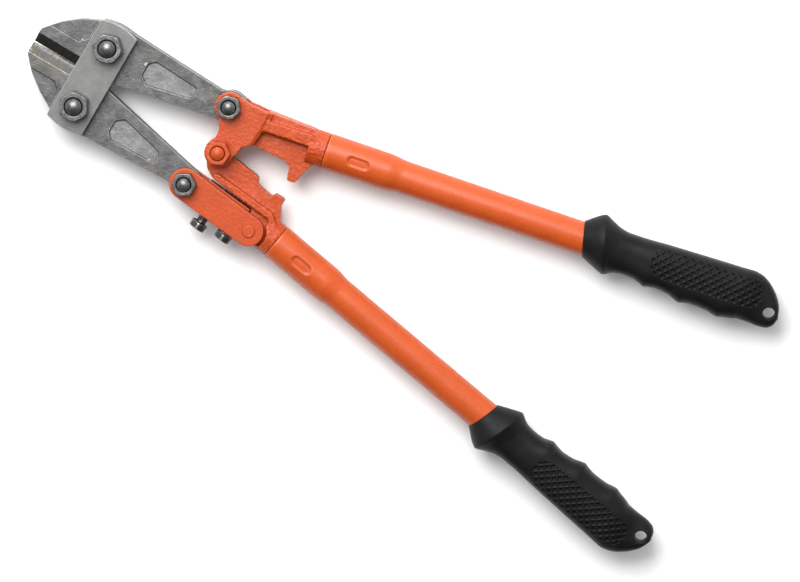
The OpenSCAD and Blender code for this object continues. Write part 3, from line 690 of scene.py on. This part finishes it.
def hole_cutter(handle, end):
    """The hang hole, with a rounded rim on both faces."""
    top, rim, r = HANG_HOLE_TOP * MM, HANG_HOLE_RIM * MM, HANG_HOLE_R * MM
    profile = [(-top - 2 * rim, r + 2.6 * rim), (-top, r + 0.6 * rim), (-top + rim, r)]
    profile += [(-x, radius) for x, radius in reversed(profile)]
    depth, along, across = np.moveaxis(turned(profile, 64), -1, 0)
    rows = np.stack([end - HANG_HOLE_BACK * MM + along, HANG_HOLE_Y * MM + across, depth], -1)
    return put("cutter", grid_mesh("hole", handle.world(rows)))


def bore_cutter(handle, start):
    r = TUBE_R + BORE_CLEAR * MM
    profile = [(start - 8 * MM, r), (handle.length + 0.2 * MM, r)]
    return put("cutter", grid_mesh("bore", handle.world(turned(profile, 96))))


# Screws ----------------------------------------------------------------------

SCREW_AROUND = 72
SCREW_AF = 10 * MM
SCREW_HEAD_H = 4.2 * MM
TIP_CHAMFER = 0.7 * MM
# Height in the head, and how far its round chamfer stands past the flats, both in millimetres
SCREW_HEAD = [(0, -0.45), (0.05, 0), (0.35, 0.6), (1, 8.2), (3.2, 8.2), (3.9, 0.5), (4.2, -0.1)]
CORNER_SHARE = 1.13  # the head's round over its flats


def hex_ring(af, chamfer, angle):
    """Radius of a hexagon at each angle, never past the chamfer's circle."""
    sector = np.mod(angle - np.pi / 6, np.pi / 3) - np.pi / 6
    return np.minimum(af / 2 / np.cos(sector), chamfer)


def thread(at, angle, pitch, depth, radius):
    """Radius of a vee thread at each place and angle, faded out towards the tip."""
    phase = np.mod(at[:, None] / pitch - angle[None, :] / (2 * np.pi), 1)
    vee = abs(phase - 0.5) * 2
    fade = smooth_step(at, 0, 0.8 * MM)[:, None]
    return radius - TIP_CHAMFER * (1 - fade) - depth * vee * fade


def measured_screw(node):
    """The CAD screw's direction from tip to head, its tip's centre and radius, and its length."""
    axis = np.array(next(j for j in frame["joints"] if j["child"] == node)["axis"], float)
    co = np.array([v.co for v in nodes[node].data.vertices])
    along = co @ axis
    tip = (co - np.outer(along, axis))[along < along.min() + 1e-5]
    radius = np.linalg.norm(tip - tip.mean(0), axis=1).max()
    centre = (tip.max(0) + tip.min(0)) / 2
    return axis, centre + along.min() * axis, radius, along.max() - along.min()


def screw(name, node, pitch, depth):
    """A hex screw with a cut thread, from the tip to the head, along its CAD node's axis."""
    axis, tip, tip_r, length = measured_screw(node)
    shank_r = tip_r + TIP_CHAMFER
    angle = np.linspace(0, 2 * np.pi, SCREW_AROUND, endpoint=False)
    head_start = length - SCREW_HEAD_H
    thread_at = np.arange(0, head_start - 0.9 * MM, pitch / 9)
    neck = [(-0.7 * MM, -0.4 * depth), (-0.3 * MM, 0), (0, 0.25 * MM)]
    half = SCREW_AF / 2
    rings = [
        thread(thread_at, angle, pitch, depth, shank_r),
        [np.full(SCREW_AROUND, shank_r + over) for _, over in neck],
        [hex_ring(SCREW_AF, min(half + over * MM, CORNER_SHARE * half), angle) for _, over in SCREW_HEAD],
    ]
    at = np.concatenate([
        thread_at, [head_start + step for step, _ in neck], [head_start + h * MM for h, _ in SCREW_HEAD]
    ])
    r = np.concatenate(rings)
    rows = tip + at[:, None, None] * axis
    rows = rows + (r * np.cos(angle))[..., None] * np.cross(axis, UP) + (r * np.sin(angle))[..., None] * UP
    return add_object(name, grid_mesh(name + "_mesh", rows), "black", "black_steel", node, node)


# Build -----------------------------------------------------------------------

JAW_FINISH = (0.34 * MM, 2, 0.5)  # voxel, smoothing passes and share of faces kept
JAW_TURN = math.radians(33)
BEVEL_REACH = 7.2 * MM  # from the cutting line
POCKET_BEHIND = 16 * MM  # from the jaw pivot
POCKET_FLOOR = 4.1 * MM  # from the jaw's middle, just above the pocket's floor


def face_material(mesh, material, test):
    """Gives the faces for which test(centre, normal) holds one more material."""
    mesh.materials.append(MATERIALS[material])
    index = len(mesh.materials) - 1
    for polygon in mesh.polygons:
        if test(polygon.center, polygon.normal):
            polygon.material_index = index


def build_jaws():
    pivot = {j["child"]: j["pos_m"] for j in frame["joints"] if j["parent"] == "straps"}
    for side, sign in (("upper", 1), ("lower", -1)):
        mesh = roughened(softened(side + "_jaw", *JAW_FINISH, JAW_TURN), 2.0 * MM, 0.16 * MM)
        mesh.materials.append(MATERIALS["forged"])
        behind, _, middle = pivot[side + "_jaw"]

        def on_bevel(centre, normal):
            return centre[0] < behind and sign * normal[1] < -0.35 and sign * centre[1] < BEVEL_REACH

        def on_pocket(centre, normal):
            on_floor = abs(normal[2]) > 0.9 and abs(centre[2] - middle) < POCKET_FLOOR
            return on_floor and centre[0] > behind + POCKET_BEHIND

        face_material(mesh, "ground", on_bevel)
        # Flat pocket floors get the lighter copy of the steel: a painted highlight
        face_material(mesh, "pocket", on_pocket)
        add_object(side + "_jaw_forging", mesh, "forged", "forged_steel", side + "_jaw", side + "_jaw")


# Voxel in millimetres, smoothing passes and share of faces kept
CASTING = (0.45, 8, 0.6)
PLATE = (0.34, 3, 0.5)
RIVET = (0.22, 3, 0.6)
WASHER = (0.2, 2, 0.6)
BOLT = (0.24, 2, 0.6)
NUT = (0.2, 2, 0.7)

SOFTENED = [
    # piece, CAD node, finish, material, slot
    ("upper_toggle_casting", "upper_casting", CASTING, "cast_paint", "orange_paint"),
    ("lower_toggle_casting", "lower_casting", CASTING, "cast_paint", "orange_paint"),
    ("strap_front", "front_strap", PLATE, "strap", "strap_steel"),
    ("strap_rear", "rear_strap", PLATE, "strap", "strap_steel"),
    ("link_plate_front", "front_link_plate", PLATE, "plate_paint", "orange_paint"),
    ("link_plate_rear", "rear_link_plate", PLATE, "plate_paint", "orange_paint"),
    ("rivet", "link_rivet", RIVET, "plate_paint", "orange_paint"),
    ("block", "adjuster_block", PLATE, "plate_paint", "orange_paint"),
    ("washer", "lock_washer", WASHER, "plated", "plated_steel"),
    ("centre_bolt_painted", "centre_bolt", BOLT, "plate_paint", "orange_paint"),
    ("centre_nut_painted", "centre_nut", NUT, "plate_paint", "orange_paint"),
    *(
        (f"{side}_{place}_{kind}_plated", f"{side}_{place}_{kind}", finish, "plated", "plated_steel")
        for place in ("jaw", "toggle")
        for kind, finish in (("bolt", BOLT), ("nut", NUT))
        for side in ("upper", "lower")
    ),
]


def build_softened():
    for name, node, finish, material, slot in SOFTENED:
        voxel, passes, keep = finish
        mesh = softened(node, voxel * MM, passes, keep)
        if finish is CASTING:
            roughened(mesh, 1.4 * MM, 0.5 * MM)
        add_object(name, mesh, material, slot, nodes[node]["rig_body"], node)


def build_handles():
    for side in ("upper", "lower"):
        handle, body = Handle(side), side + "_handle"
        add_object("tube_" + side, tube_mesh(handle), "tube_paint", "orange_paint", body, side + "_tube")
        grip(handle)


def build_screws():
    screw("adjusting_screw_cut", "adjusting_screw", 1.0 * MM, 0.55 * MM)
    screw("lock_screw_cut", "lock_screw", 0.8 * MM, 0.45 * MM)


# Stage -----------------------------------------------------------------------


def add_floor():
    mesh = bpy.data.meshes.new("floor_mesh")
    corners = [(-FLOOR_HALF, -FLOOR_HALF, 0), (FLOOR_HALF, -FLOOR_HALF, 0)]
    corners += [(FLOOR_HALF, FLOOR_HALF, 0), (-FLOOR_HALF, FLOOR_HALF, 0)]
    mesh.from_pydata(corners, [], [(0, 1, 2, 3)])
    mesh.materials.append(floor_paint("floor_paint"))
    floor = put("floor", mesh)
    floor.location.z = -FLOOR_DROP


def camera_axes():
    """Right, up and back directions of the camera."""
    tilt, towards = math.radians(CAMERA_TILT), math.radians(CAMERA_TILT_TOWARDS)
    roll = math.radians(CAMERA_ROLL)
    back = Vector((math.sin(tilt) * math.cos(towards), math.sin(tilt) * math.sin(towards), math.cos(tilt)))
    up = Vector((-math.sin(roll), math.cos(roll), 0))
    up = (up - up.dot(back) * back).normalized()
    return up.cross(back), up, back


def add_camera():
    right, up, back = camera_axes()
    data = bpy.data.cameras.new("camera")
    data.sensor_width = SENSOR
    data.lens = SENSOR * CAMERA_DISTANCE / FIELD_WIDTH
    camera = put("camera", data)
    place = Matrix((right, up, back)).transposed().to_4x4()
    place.translation = CAMERA_TARGET + CAMERA_DISTANCE * back
    camera.matrix_world = place
    bpy.context.scene.camera = camera


def add_key(direction):
    """A square soft light that looks at the tool from a direction."""
    data = bpy.data.lights.new("key", "AREA")
    data.shape = "SQUARE"
    data.size = KEY_SIZE
    data.energy = KEY_POWER
    light = put("key", data)
    direction = Vector(direction).normalized()
    light.location = CAMERA_TARGET + KEY_DISTANCE * direction
    light.rotation_euler = direction.to_track_quat("Z", "Y").to_euler()


def add_room(far_side):
    """A room that is pale on the far side and dim on the near one."""
    world = bpy.data.worlds.new("studio")
    bpy.context.scene.world = world
    world.use_nodes = True
    tree = world.node_tree
    background = tree.nodes["Background"]
    background.inputs["Color"].default_value = (1, 1, 1, 1)
    place = tree.nodes.new("ShaderNodeTexCoord")
    towards = tree.nodes.new("ShaderNodeVectorMath")
    towards.operation = "DOT_PRODUCT"
    towards.inputs[1].default_value = far_side
    level = tree.nodes.new("ShaderNodeMapRange")
    levels = (("From Min", -ROOM_SPAN), ("From Max", ROOM_SPAN), ("To Min", ROOM_DIM), ("To Max", ROOM_PALE))
    for key, value in levels:
        level.inputs[key].default_value = value
    tree.links.new(place.outputs["Generated"], towards.inputs[0])
    tree.links.new(towards.outputs["Value"], level.inputs["Value"])
    tree.links.new(level.outputs["Result"], background.inputs["Strength"])


def add_lights():
    right, up, _ = camera_axes()
    far_side = Vector((up.x, up.y, 0)).normalized()
    add_key(0.7 * far_side - 0.2 * right + Vector(UP))
    add_room(far_side)
    bpy.context.scene.view_settings.view_transform = "Standard"


add_camera()
add_lights()
add_floor()
build_jaws()
build_softened()
build_handles()
build_screws()
